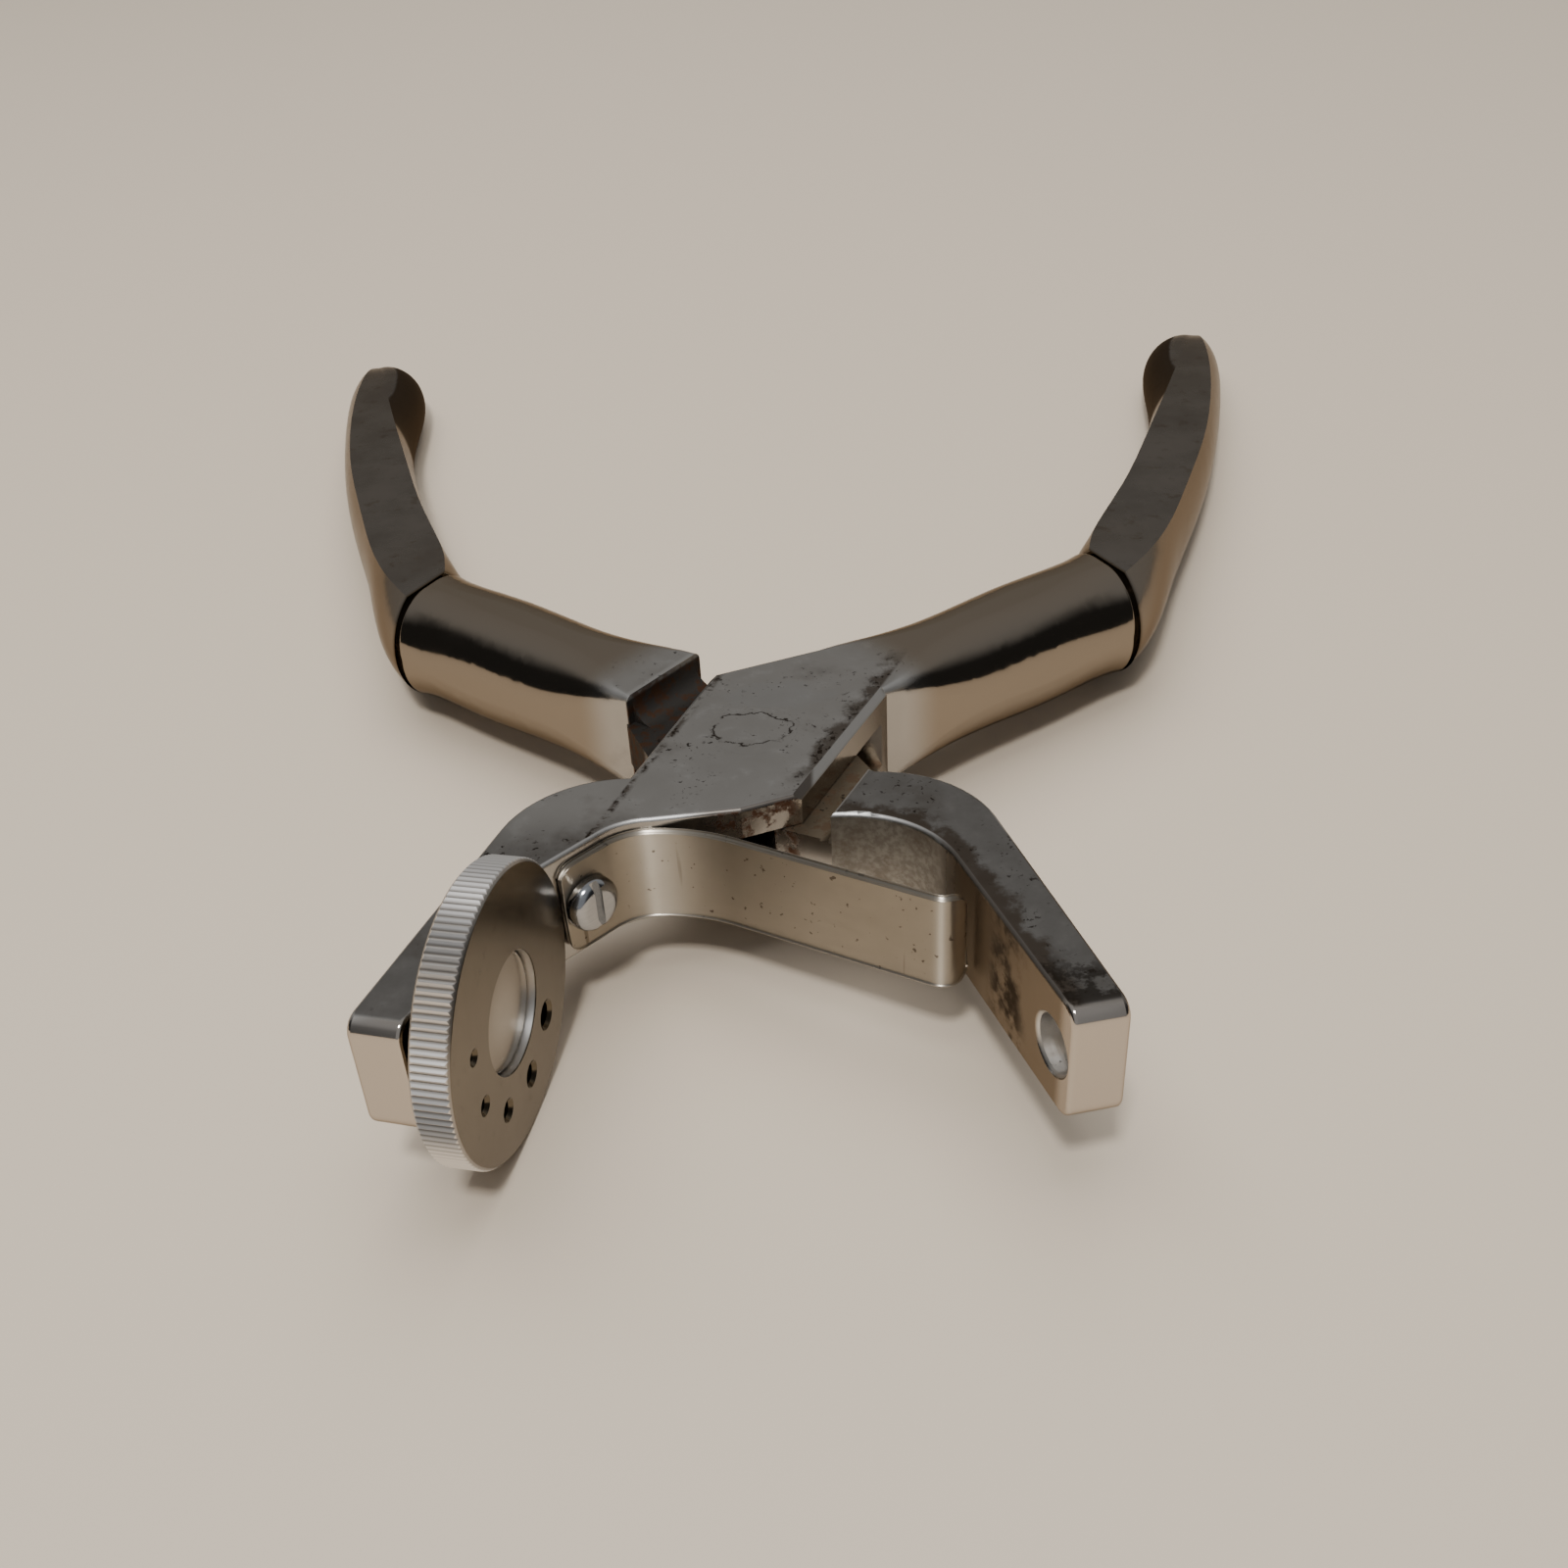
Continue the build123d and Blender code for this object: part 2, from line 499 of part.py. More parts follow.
# Leaf spring: a flat tab on its seat, a bend over the throat, a long run and a rolled nose
with BuildPart() as leaf_spring:
    with BuildSketch(Plane.XY.offset(middle - LEAF_WIDTH / 2)):
        with BuildLine():
            tab_start = seat_bend @ 1 + (seat_bend % 1) * LEAF_TAB_LENGTH + seat_out * (LEAF_THICKNESS / 2)
            tab = Line(tab_start, seat_bend @ 1 + seat_out * (LEAF_THICKNESS / 2))
            bend = JernArc(tab @ 1, tab % 1, LEAF_SEAT_RADIUS - LEAF_THICKNESS / 2, -LEAF_SEAT_TURN)
            crest = JernArc(bend @ 1, bend % 1, LEAF_CREST_RADIUS, -LEAF_CREST_TURN)
            run = Line(crest @ 1, crest @ 1 + (crest % 1) * LEAF_RUN)
            nose = JernArc(run @ 1, run % 1, LEAF_NOSE_RADIUS, LEAF_NOSE_TURN)
        trace(line_width=LEAF_THICKNESS)
    extrude(amount=LEAF_WIDTH)
    corners = leaf_spring.edges().filter_by(GeomType.LINE)
    tab_corners = corners.filter_by(lambda e: e.length < LEAF_THICKNESS * 1.5)
    fillet(tab_corners, LEAF_CORNER_ROUNDING)
    with BuildSketch(screw_plane):
        Circle(SCREW_SHANK_DIAMETER / 2 + SCREW_HOLE_CLEARANCE)
    extrude(amount=LEAF_THICKNESS * 2, mode=Mode.SUBTRACT)
leaf_spring.part.label = "leaf_spring"
export_step(leaf_spring.part, "parts/leaf_spring.step")

# Screw with a domed head
with BuildPart() as spring_screw:
    with BuildSketch(screw_plane.offset(-SCREW_SHANK_LENGTH)):
        Circle(SCREW_SHANK_DIAMETER / 2)
    extrude(amount=SCREW_SHANK_LENGTH + LEAF_THICKNESS)
    with BuildSketch(screw_plane.offset(LEAF_THICKNESS)):
        Circle(SCREW_HEAD_DIAMETER / 2)
    extrude(amount=SCREW_HEAD_HEIGHT)
    crown_at = screw_plane.offset(LEAF_THICKNESS + SCREW_HEAD_HEIGHT).origin
    crown_face = spring_screw.faces().sort_by_distance(crown_at)[0]
    fillet(crown_face.edges(), SCREW_HEAD_ROUNDING)
    with BuildSketch(screw_plane.offset(LEAF_THICKNESS + SCREW_HEAD_HEIGHT)):
        Rectangle(SCREW_HEAD_DIAMETER, SCREW_SLOT_WIDTH)
    extrude(amount=-SCREW_SLOT_DEPTH, mode=Mode.SUBTRACT)
spring_screw.part.label = "spring_screw"
export_step(spring_screw.part, "parts/spring_screw.step")
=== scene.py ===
from math import cos, pi, radians, sin, sqrt
import bmesh
import bpy
from mathutils import Matrix, Vector


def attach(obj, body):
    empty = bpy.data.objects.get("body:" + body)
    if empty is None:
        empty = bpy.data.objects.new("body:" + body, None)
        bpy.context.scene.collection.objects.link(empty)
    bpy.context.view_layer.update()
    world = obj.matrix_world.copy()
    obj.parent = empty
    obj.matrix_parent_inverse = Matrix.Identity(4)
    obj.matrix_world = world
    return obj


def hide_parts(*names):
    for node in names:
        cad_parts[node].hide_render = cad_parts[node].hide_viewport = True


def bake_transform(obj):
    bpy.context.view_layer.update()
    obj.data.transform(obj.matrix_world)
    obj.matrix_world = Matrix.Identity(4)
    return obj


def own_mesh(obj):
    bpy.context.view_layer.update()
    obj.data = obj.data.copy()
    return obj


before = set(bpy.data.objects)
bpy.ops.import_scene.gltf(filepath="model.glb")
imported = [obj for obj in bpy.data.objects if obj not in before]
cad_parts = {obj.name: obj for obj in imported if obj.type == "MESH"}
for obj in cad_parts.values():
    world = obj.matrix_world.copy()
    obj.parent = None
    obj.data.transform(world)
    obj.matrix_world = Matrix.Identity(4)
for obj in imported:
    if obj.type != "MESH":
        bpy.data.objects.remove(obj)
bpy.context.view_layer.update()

# The two arms are drop forgings, milled flat above and below, then nickel plated.
# The flats are dull, pitted and stained brown, the round barrels and the jaw ends are still polished, and
# their colours carry painted reflections.
# Both arms wear alike, so one finish serves them, read in each arm's own coordinates.


def add_node(tree, kind, inputs=None, **settings):
    made = tree.nodes.new(kind)
    for key, value in settings.items():
        setattr(made, key, value)
    for key, value in (inputs or {}).items():
        if isinstance(value, bpy.types.NodeSocket):
            tree.links.new(value, made.inputs[key])
        else:
            made.inputs[key].default_value = value
    return made


def new_metal(name):
    finish = bpy.data.materials.new(name)
    finish.use_nodes = True
    shader = finish.node_tree.nodes["Principled BSDF"]
    shader.inputs["Metallic"].default_value = 1.0
    return finish, finish.node_tree, shader


def math(tree, operation, first, second=0.0, clamp=False):
    made = add_node(tree, "ShaderNodeMath", {0: first, 1: second}, operation=operation, use_clamp=clamp)
    return made.outputs[0]


def times(tree, *shares):
    product = shares[0]
    for share in shares[1:]:
        product = math(tree, "MULTIPLY", product, share)
    return product


def most(tree, *shares):
    largest = shares[0]
    for share in shares[1:]:
        largest = math(tree, "MAXIMUM", largest, share)
    return largest


def rest(tree, share):
    return math(tree, "SUBTRACT", 1.0, share)


def band(tree, value, low, high):
    made = add_node(
        tree,
        "ShaderNodeMapRange",
        {"Value": value, "From Min": low, "From Max": high},
        interpolation_type="SMOOTHSTEP",
    )
    return made.outputs["Result"]


def vector(tree, operation, first, second=(0.0, 0.0, 0.0)):
    made = add_node(tree, "ShaderNodeVectorMath", {0: first, 1: second}, operation=operation)
    return made.outputs["Value" if operation in ("DOT_PRODUCT", "LENGTH") else "Vector"]


def across(tree, place, direction, offset=0.0):
    return math(tree, "SUBTRACT", vector(tree, "DOT_PRODUCT", place, direction), offset)


def from_point(tree, where, point, squeeze=(1.0, 1.0, 0.0)):
    moved = vector(tree, "SUBTRACT", where, point)
    return vector(tree, "LENGTH", vector(tree, "MULTIPLY", moved, squeeze))


def grain(tree, where, scale, detail=4.0, rough=0.55, stretch=None):
    if stretch:
        where = add_node(tree, "ShaderNodeMapping", {"Vector": where, "Scale": stretch}).outputs[0]
    made = add_node(
        tree, "ShaderNodeTexNoise", {"Vector": where, "Scale": scale, "Detail": detail, "Roughness": rough}
    )
    return made.outputs["Fac"]


def tint(tree, share, below, above):
    made = add_node(tree, "ShaderNodeMix", data_type="RGBA")
    for socket, value in ((made.inputs[0], share), (made.inputs[6], below), (made.inputs[7], above)):
        if isinstance(value, bpy.types.NodeSocket):
            tree.links.new(value, socket)
        else:
            socket.default_value = value
    return made.outputs[2]


def between(tree, share, below, above):
    made = add_node(tree, "ShaderNodeMix", {2: below, 3: above}, data_type="FLOAT")
    tree.links.new(share, made.inputs[0])
    return made.outputs[0]


DULL_NICKEL = (0.34, 0.325, 0.305, 1)
CLEAN_NICKEL = (0.5, 0.485, 0.465, 1)
BARREL_NICKEL_PAINTED_REFLECTION = (0.3, 0.255, 0.205, 1)
JAW_END_NICKEL_PAINTED_REFLECTION = (0.57, 0.51, 0.45, 1)
BOW_FLAT_PAINTED_DARK_REFLECTION = (0.156, 0.147, 0.139, 1)
BOW_SIDE_PAINTED_REFLECTION = (0.24, 0.195, 0.15, 1)
RUBBED_EDGE = (0.55, 0.54, 0.52, 1)
TAN_FILM = (0.27, 0.205, 0.13, 1)
BROWN_FILM = (0.075, 0.054, 0.036, 1)
DARK_FILM = (0.03, 0.023, 0.017, 1)
RUST = (0.15, 0.058, 0.02, 1)
PIT_BLACK = (0.03, 0.022, 0.016, 1)
JAW_DARK = (0.1, 0.092, 0.082, 1)
JAW_GREY = (0.27, 0.26, 0.25, 1)
BOW_PALE = (0.2, 0.185, 0.17, 1)
BOX_PALE = (0.42, 0.415, 0.405, 1)
THROAT_GREY = (0.3, 0.285, 0.255, 1)
THROAT_PALE = (0.5, 0.485, 0.455, 1)
THROAT_BROWN = (0.2, 0.165, 0.125, 1)
THROAT_TAN = (0.24, 0.185, 0.13, 1)
TIP_PAINTED_SHADE = (0.06, 0.043, 0.029, 1)
BORE_DULL = (0.4, 0.38, 0.35, 1)
BORE_BRIGHT = (0.95, 0.93, 0.9, 1)
GRAZING_TINT = (0.5, 0.45, 0.4, 1)
MIDDLE_HEIGHT = 0.0057
SOCKET_MOUTH = (0.024245, -0.03815, MIDDLE_HEIGHT)
SOCKET_AXIS = (0.9385, 0.3453, 0.0)
JAW_LENGTHWISE = (0.3453, -0.9385, 0.0)
THROAT_CENTRE = (0.0086, -0.0243, 0.0)
THROAT_RADIUS = 0.0099
BARREL_LINE = (0.8, 0.6, 0.0)
TAIL_LINE = (-0.8, 0.6, 0.0)
GROOVE_LINE = (0.891, 0.454, 0.0)
BOX_RIGHT_SIDE = (0.9086, -0.4179, 0.0)
BOX_LEFT_SIDE = (-0.939, 0.3438, 0.0)
BOX_FRONT_CORNER = (0.0002, -0.0122, 0.0)
WALL_STAIN_CENTRE = (0.0212, -0.0308, 0.0)
PALE_PATCH_CENTRE = (0.0021, 0.0064, 0.0)

nickel, tree, shader = new_metal("worn_nickel")
texture_place = add_node(tree, "ShaderNodeTexCoord")
where = texture_place.outputs["Object"]
facing = texture_place.outputs["Normal"]
side, along, height = add_node(tree, "ShaderNodeSeparateXYZ", {0: where}).outputs
face_x, face_y, face_z = add_node(tree, "ShaderNodeSeparateXYZ", {0: facing}).outputs
upright = math(tree, "ABSOLUTE", face_z)
out = math(tree, "ABSOLUTE", side)
off_middle = math(tree, "ABSOLUTE", math(tree, "SUBTRACT", height, MIDDLE_HEIGHT))
from_pivot = from_point(tree, where, (0.0, 0.0, 0.0))

# Places on the arms: flats and rims, barrels and bows, the punch jaw and the tongue
flat = band(tree, upright, 0.9, 0.985)
wall = band(tree, upright, 0.5, 0.3)
rim = times(tree, band(tree, upright, 0.15, 0.45), rest(tree, flat), band(tree, off_middle, 0.0047, 0.0051))
on_either_side = add_node(tree, "ShaderNodeCombineXYZ", {0: out, 1: along}).outputs[0]
down_barrel = across(tree, on_either_side, BARREL_LINE)
to_groove = across(tree, on_either_side, GROOVE_LINE)
barrel = times(tree, band(tree, down_barrel, 0.0165, 0.0215), band(tree, to_groove, 0.0496, 0.0492))
bow = band(tree, to_groove, 0.0492, 0.0496)
groove = times(tree, band(tree, to_groove, 0.0482, 0.0489), band(tree, to_groove, 0.0498, 0.0491))
body = rest(tree, most(tree, barrel, bow))
jaw_end = times(tree, band(tree, along, -0.0388, -0.0402), rest(tree, flat))
punch_jaw = times(tree, band(tree, side, 0.0068, 0.0078), band(tree, along, -0.0062, -0.0072))
disc_jaw = times(tree, band(tree, side, -0.004, -0.012), band(tree, along, -0.012, -0.02))
tongue = times(tree, band(tree, off_middle, 0.0047, 0.0034), band(tree, from_pivot, 0.0158, 0.0145))
left_half = band(tree, side, 0.0, -0.002)
down_tail = across(tree, where, TAIL_LINE)
root_end = times(tree, band(tree, down_tail, 0.01475, 0.01455), band(tree, off_middle, 0.00565, 0.00555))
root_end = times(tree, root_end, band(tree, down_tail, 0.009, 0.0105), left_half)
root_end = times(tree, root_end, rest(tree, times(tree, flat, band(tree, off_middle, 0.0054, 0.0056))))
front_end = times(tree, band(tree, from_point(tree, where, BOX_FRONT_CORNER), 0.005, 0.0034), wall)
front_end = times(tree, front_end, band(tree, face_y, -0.5, -0.8))
from_right_edge = math(tree, "MULTIPLY", across(tree, where, BOX_RIGHT_SIDE, 0.009), -1.0)
from_left_edge = math(tree, "MULTIPLY", across(tree, where, BOX_LEFT_SIDE, 0.00822), -1.0)
on_run = band(tree, across(tree, where, JAW_LENGTHWISE, 0.02577), -0.001, 0.001)
jaw_in = across(tree, where, SOCKET_AXIS, 0.00958)
bend_in = math(tree, "SUBTRACT", from_point(tree, where, THROAT_CENTRE), THROAT_RADIUS)
from_throat = between(tree, on_run, bend_in, jaw_in)
throat_face = times(tree, punch_jaw, wall, band(tree, from_throat, 0.0006, 0.0002))
pad_bow = math(tree, "POWER", times(tree, off_middle, 220.0), 2.0)
along_pad = math(tree, "SUBTRACT", along, times(tree, pad_bow, 0.003))
grip_tip = times(tree, band(tree, along_pad, 0.083, 0.086), bow)
inward = band(tree, math(tree, "MULTIPLY", face_x, math(tree, "SIGN", side)), -0.12, -0.24)
grip_pad = times(tree, grip_tip, inward)
shoulder_line = times(tree, band(tree, down_barrel, 0.0152, 0.0148), band(tree, down_barrel, 0.0143, 0.0145))
shoulder_line = times(tree, shoulder_line, band(tree, off_middle, 0.005, 0.0054), left_half)
from_mouth = vector(tree, "SUBTRACT", where, SOCKET_MOUTH)
socket_radius = vector(tree, "LENGTH", vector(tree, "CROSS_PRODUCT", from_mouth, SOCKET_AXIS))
socket_wall = times(tree, band(tree, socket_radius, 0.0028, 0.0026), punch_jaw)
socket_depth = across(tree, where, SOCKET_AXIS)

# Wear: clouds of dull film, brown film along the rims, pits, and rust where the plating is gone
cloud = grain(tree, where, 110.0, 5.0, 0.6)
blotch = grain(tree, where, 420.0, 6.0, 0.64)
speck = grain(tree, where, 1700.0, 3.0, 0.6)
pit_field = grain(tree, where, 230.0, 3.0, 0.6)
brush = grain(tree, where, 800.0, 2.0, 0.5, (1.0, 6.0, 1.0))
ragged = math(tree, "MULTIPLY", math(tree, "SUBTRACT", blotch, 0.5), 0.006)

edge_film = band(tree, math(tree, "ADD", from_right_edge, ragged), 0.0026, 0.0009)
behind_front = band(tree, along, -0.0105, -0.006)
edge_film = times(tree, edge_film, band(tree, from_right_edge, 0.0005, 0.0009), behind_front)
left_film = times(tree, band(tree, from_left_edge, 0.0006, 0.0009), band(tree, from_left_edge, 0.0016, 0.001))
left_film = times(tree, left_film, band(tree, blotch, 0.42, 0.55))
box_film = times(tree, most(tree, edge_film, left_film), flat, body, rest(tree, punch_jaw))
throat_film = times(tree, band(tree, math(tree, "ADD", from_throat, ragged), 0.0024, 0.0009), flat, punch_jaw)
tip_film = band(tree, math(tree, "ADD", along, ragged), -0.0325, -0.0365)
tip_film = times(tree, tip_film, band(tree, blotch, 0.44, 0.56), flat, punch_jaw)
wall_film = times(tree, throat_face, band(tree, along, -0.0185, -0.023))
from_stain = from_point(tree, where, WALL_STAIN_CENTRE)
wall_stain = times(tree, wall_film, band(tree, from_stain, 0.0042, 0.0016))
wall_stain = times(tree, wall_stain, band(tree, cloud, 0.4, 0.52), band(tree, blotch, 0.36, 0.56))
throat_grey = times(tree, throat_face, band(tree, along, -0.0205, -0.0175))

pits = times(tree, band(tree, speck, 0.6, 0.68), band(tree, pit_field, 0.45, 0.62), flat, body)
pits = most(tree, pits, times(tree, band(tree, speck, 0.52, 0.6), box_film))
worn = times(tree, band(tree, blotch, 0.54, 0.72), flat)
stain = times(tree, band(tree, cloud, 0.52, 0.74), body)
pale_patch = from_point(tree, where, PALE_PATCH_CENTRE, (0.8, 1.5, 0.0))
pale_patch = band(tree, math(tree, "ADD", pale_patch, times(tree, ragged, 1.2)), 0.0045, 0.003)
pale_patch = times(tree, pale_patch, flat, band(tree, height, 0.008, 0.01))
rust_field = band(tree, grain(tree, where, 640.0, 5.0, 0.66), 0.46, 0.6)
right_half = band(tree, side, 0.002, 0.004)
rust = most(tree, front_end, times(tree, root_end, 0.7), times(tree, tongue, flat, 0.5))
rust = times(tree, rust_field, rust)

colour = tint(tree, cloud, DULL_NICKEL, CLEAN_NICKEL)
colour = tint(tree, times(tree, worn, 0.4), colour, RUBBED_EDGE)
jaw_colour = tint(tree, blotch, JAW_DARK, JAW_GREY)
colour = tint(tree, times(tree, most(tree, punch_jaw, disc_jaw), flat, 0.75), colour, jaw_colour)
# The bows' flats are painted darker than the other flats as a painted dark reflection, and their sides brown
# as a painted warm reflection.
bow_colour = tint(tree, band(tree, cloud, 0.35, 0.65), BOW_FLAT_PAINTED_DARK_REFLECTION, BOW_PALE)
bow_colour = tint(tree, times(tree, band(tree, blotch, 0.56, 0.68), 0.5), bow_colour, BROWN_FILM)
colour = tint(tree, times(tree, bow, flat, 0.85), colour, bow_colour)
colour = tint(tree, times(tree, bow, rest(tree, flat), 0.8), colour, BOW_SIDE_PAINTED_REFLECTION)
colour = tint(tree, times(tree, stain, 0.4), colour, BROWN_FILM)
colour = tint(tree, times(tree, pale_patch, 0.5), colour, BOX_PALE)
dull_rim = times(tree, punch_jaw, band(tree, along, -0.016, -0.021))
front_span = times(tree, band(tree, side, -0.007, -0.003), band(tree, side, 0.006, 0.0055))
dull_rim = most(tree, dull_rim, front_span)
colour = tint(tree, times(tree, rim, body, rest(tree, dull_rim), 0.8), colour, RUBBED_EDGE)
colour = tint(tree, times(tree, rim, dull_rim, body, 0.7), colour, BROWN_FILM)
throat_colour = tint(tree, band(tree, speck, 0.35, 0.68), THROAT_GREY, THROAT_PALE)
browned_throat = times(tree, band(tree, cloud, 0.45, 0.65), 0.5)
throat_colour = tint(tree, browned_throat, throat_colour, THROAT_BROWN)
colour = tint(tree, times(tree, throat_grey, 0.8), colour, throat_colour)
colour = tint(tree, times(tree, wall_film, 0.8), colour, THROAT_TAN)
# Painted reflections: the polished barrels are tinted dark brown and the jaw ends bright tan, standing in for
# the floor they mirror.
colour = tint(tree, barrel, colour, BARREL_NICKEL_PAINTED_REFLECTION)
colour = tint(tree, jaw_end, colour, JAW_END_NICKEL_PAINTED_REFLECTION)
# The groove between barrel and bow is painted darker.
colour = tint(tree, times(tree, groove, 0.7), colour, DARK_FILM)
colour = tint(tree, times(tree, most(tree, box_film, throat_film), 0.8), colour, BROWN_FILM)
colour = tint(tree, times(tree, most(tree, tip_film, wall_stain), 0.85), colour, DARK_FILM)
tongue_face = times(tree, tongue, flat)
left_tongue = times(tree, tongue_face, rest(tree, right_half))
right_tongue = times(tree, tongue_face, right_half)
ramp_reach = times(tree, band(tree, from_pivot, 0.0172, 0.0165), band(tree, from_pivot, 0.0075, 0.0085))
head_ramp = times(tree, right_half, band(tree, off_middle, 0.0052, 0.0048), rest(tree, wall), ramp_reach)
colour = tint(tree, times(tree, most(tree, root_end, left_tongue), 0.85), colour, DARK_FILM)
colour = tint(tree, times(tree, most(tree, right_tongue, head_ramp), 0.85), colour, TAN_FILM)
# The inward faces at the handle tips are painted dark brown as painted shade.
colour = tint(tree, times(tree, grip_pad, 0.95), colour, TIP_PAINTED_SHADE)
colour = tint(tree, times(tree, shoulder_line, 0.7), colour, RUBBED_EDGE)
colour = tint(tree, socket_wall, colour, tint(tree, blotch, BORE_DULL, BORE_BRIGHT))
colour = tint(tree, times(tree, rust, 0.85), colour, RUST)
colour = tint(tree, times(tree, pits, 0.9), colour, PIT_BLACK)
tree.links.new(colour, shader.inputs["Base Color"])
shader.inputs["Specular Tint"].default_value = GRAZING_TINT

film = most(tree, box_film, throat_film, tip_film, wall_stain, rust, root_end, grip_pad)
mottle = times(tree, math(tree, "SUBTRACT", blotch, 0.5), between(tree, flat, 0.08, 0.3))
rough = math(tree, "ADD", between(tree, flat, 0.2, 0.37), mottle)
rough = between(tree, times(tree, bow, flat), rough, between(tree, cloud, 0.16, 0.38))
smear = grain(tree, where, 190.0, 5.0, 0.7, (1.0, 1.0, 2.5))
rough = between(tree, times(tree, wall_film, 0.6), rough, 0.42)
rough = between(tree, times(tree, rim, body), rough, 0.45)
rough = between(tree, most(tree, throat_grey, head_ramp), rough, 0.45)
rough = between(tree, most(tree, times(tree, barrel, 0.9), jaw_end), rough, between(tree, smear, 0.03, 0.19))
rough = between(tree, socket_wall, rough, 0.4)
rough = math(tree, "ADD", rough, times(tree, most(tree, film, pits), 0.28), True)
rough = between(tree, most(tree, root_end, grip_pad), rough, 0.62)
tree.links.new(rough, shader.inputs["Roughness"])

relief = math(tree, "ADD", times(tree, brush, flat, 0.06), times(tree, blotch, flat, 0.14))
relief = math(tree, "ADD", relief, times(tree, rust, 0.3))
relief = math(tree, "SUBTRACT", relief, times(tree, pits, 0.5))
bore_rings = grain(tree, add_node(tree, "ShaderNodeCombineXYZ", {0: socket_depth}).outputs[0], 3200.0, 2.0)
relief = math(tree, "ADD", relief, times(tree, socket_wall, bore_rings, 0.8))
bump = add_node(tree, "ShaderNodeBump", {"Height": relief, "Strength": 0.4, "Distance": 0.00008})
tree.links.new(bump.outputs[0], shader.inputs["Normal"])
for arm in ("female_arm", "male_arm"):
    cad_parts[arm].material_slots[0].material = nickel

# The pivot pin is a steel rivet, hammered flush and ground level with the plates.
# It has the plates' own finish, and a thin dark broken line runs round its spread head.
rivet = nickel.copy()
rivet.name = "flush_rivet"
tree = rivet.node_tree
shader = tree.nodes["Principled BSDF"]
where = add_node(tree, "ShaderNodeTexCoord").outputs["Object"]
oval = from_point(tree, where, (-0.0001, 0.0002, 0.0), (245.0, 330.0, 0.0))
jag = math(tree, "SUBTRACT", grain(tree, where, 620.0, 6.0, 0.7), 0.5)
seam = math(tree, "ABSOLUTE", math(tree, "SUBTRACT", math(tree, "ADD", oval, times(tree, jag, 0.8)), 0.95))
seam = times(tree, band(tree, seam, 0.06, 0.02), band(tree, grain(tree, where, 400.0, 3.0), 0.38, 0.5))
plain_colour = shader.inputs["Base Color"].links[0].from_socket
seamed_colour = tint(tree, times(tree, seam, 0.9), plain_colour, PIT_BLACK)
tree.links.new(seamed_colour, shader.inputs["Base Color"])
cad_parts["pivot_pin"].material_slots[0].material = rivet

# The disc is turned from tool steel, its rim straight-knurled for the thumb.
# Handling has left the face brown and dull and the knurl rubbed bright; the brown is partly a painted
# reflection, and the knurl's brightness is partly a painted highlight.
DISC_AXIS = Vector((0.98229, -0.18738, 0.0))
DISC_CENTRE = Vector((-0.018645, -0.033169, MIDDLE_HEIGHT))
DISC_RADIUS = 0.0127
DISC_BROWN_AND_PAINTED_REFLECTION = (0.125, 0.1, 0.068, 1)
DISC_TAN_AND_PAINTED_REFLECTION = (0.17, 0.14, 0.1, 1)
DISC_SPECK = (0.07, 0.052, 0.035, 1)
RECESS_PAINTED_HIGHLIGHT = (0.95, 0.94, 0.92, 1)
KNURL_RUBBED_AND_PAINTED_HIGHLIGHT = (0.78, 0.75, 0.72, 1)
KNURL_VALLEY = (0.2, 0.17, 0.14, 1)
disc_steel, tree, shader = new_metal("disc_steel")
where = add_node(tree, "ShaderNodeTexCoord").outputs["Object"]
offset = vector(tree, "SUBTRACT", where, DISC_CENTRE)
depth = across(tree, offset, DISC_AXIS)
lift = add_node(tree, "ShaderNodeVectorMath", {0: DISC_AXIS, "Scale": depth}, operation="SCALE").outputs[0]
radius = vector(tree, "LENGTH", vector(tree, "SUBTRACT", offset, lift))
knurl = band(tree, radius, DISC_RADIUS - 0.00037, DISC_RADIUS - 0.00025)
valley = band(tree, radius, DISC_RADIUS - 0.00008, DISC_RADIUS - 0.0002)
cloud = grain(tree, where, 160.0, 5.0, 0.6)
fine = grain(tree, where, 900.0, 4.0, 0.6)
rings = add_node(tree, "ShaderNodeCombineXYZ", {0: radius}).outputs[0]
turned = grain(tree, rings, 5200.0, 2.0, 0.5)
# The face's brown is partly its own and partly a painted warm reflection.
colour = tint(tree, cloud, DISC_BROWN_AND_PAINTED_REFLECTION, DISC_TAN_AND_PAINTED_REFLECTION)
colour = tint(tree, times(tree, band(tree, fine, 0.6, 0.72), 0.3), colour, DISC_SPECK)
# The counterbore wall round the stud is painted near white as a painted highlight.
recess = times(tree, band(tree, radius, 0.0056, 0.0054), band(tree, depth, -0.00005, -0.0002))
colour = tint(tree, recess, colour, RECESS_PAINTED_HIGHLIGHT)
# The knurl's ridges are rubbed bright and brightened further as a painted highlight, and the knurl darkens
# towards the bottoms of its teeth.
knurl_colour = tint(tree, times(tree, valley, 0.7), KNURL_RUBBED_AND_PAINTED_HIGHLIGHT, KNURL_VALLEY)
colour = tint(tree, knurl, colour, knurl_colour)
tree.links.new(colour, shader.inputs["Base Color"])
rough = between(tree, most(tree, knurl, recess), between(tree, fine, 0.2, 0.3), 0.36)
tree.links.new(rough, shader.inputs["Roughness"])
relief = math(tree, "ADD", times(tree, turned, 0.2), times(tree, fine, 0.05))
bump = add_node(tree, "ShaderNodeBump", {"Height": relief, "Strength": 0.35, "Distance": 0.00008})
tree.links.new(bump.outputs[0], shader.inputs["Normal"])
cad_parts["punch_disc"].material_slots[0].material = disc_steel

